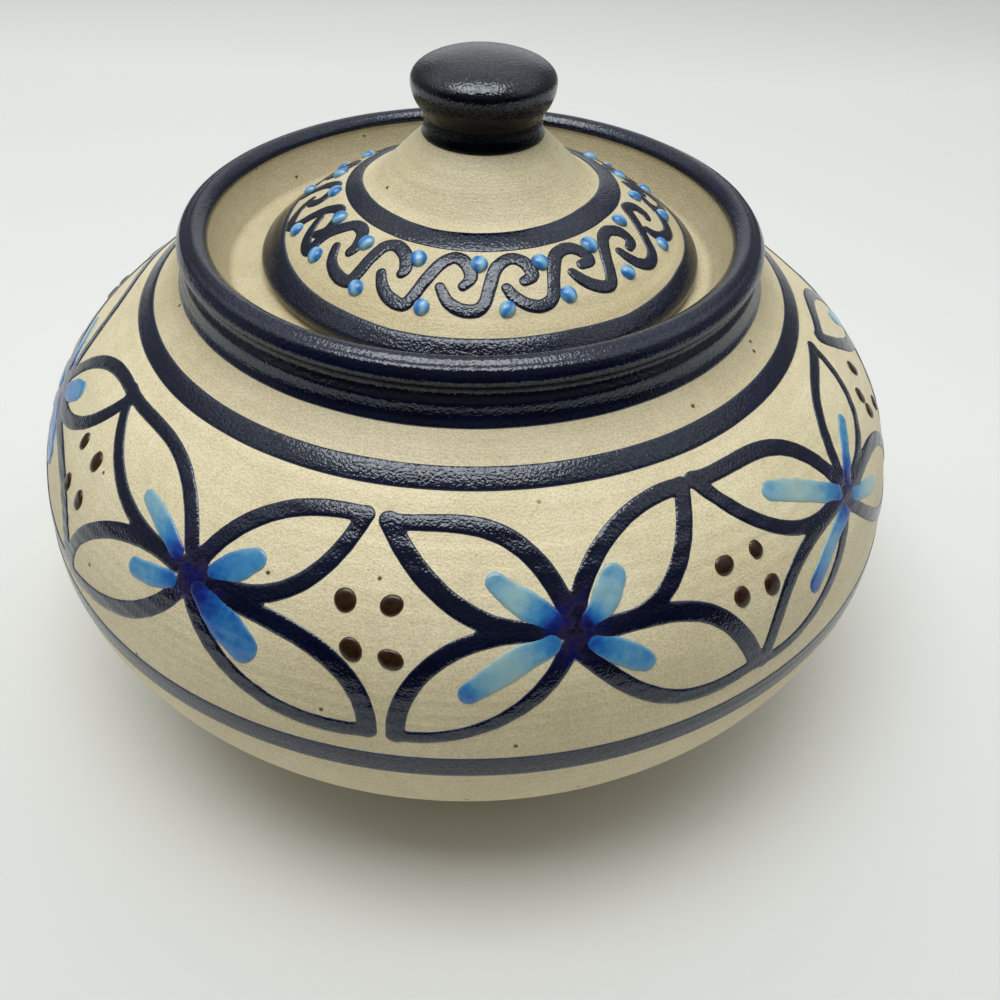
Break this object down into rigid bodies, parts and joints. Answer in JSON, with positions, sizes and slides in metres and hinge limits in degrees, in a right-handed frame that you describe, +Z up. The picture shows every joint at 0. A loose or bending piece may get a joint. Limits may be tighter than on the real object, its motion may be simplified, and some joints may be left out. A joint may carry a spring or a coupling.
{
  "type": "lidded jar",
  "caption": "Round-bellied stoneware jar with a collar and an inner gallery, a domed lid that drops into it, and a button knob; dark painted bands and flower lattice.",
  "frame": {"origin": "middle of the foot ring, on the surface that the jar stands on", "axes": "+Z up along the jar's turning axis; +X to the picture's right, the way the lid lies off centre; -Y towards the picture's viewer"},
  "size_m": [0.1502, 0.1502, 0.1082],
  "materials": {
    "clay": "matt buff stoneware, fine specks and throwing lines",
    "lid_clay": "matt buff stoneware, fine specks and throwing lines",
    "dark_glaze": "satin blue-black slip glaze, slightly raised, with small glints",
    "blue_glaze": "glossy light blue glaze daubs, paler where thin",
    "brown_glaze": "glossy dark brown glaze dots"
  },
  "bodies": {
    "jar": {"jar_body": "clay"},
    "lid": {"lid": "lid_clay", "knob": "dark_glaze"}
  },
  "joints": [
    {"name": "lid_lift", "type": "slide", "parent": "jar", "child": "lid", "axis": [0, 0, 1], "range_m": [0, 0.07]}
  ]
}
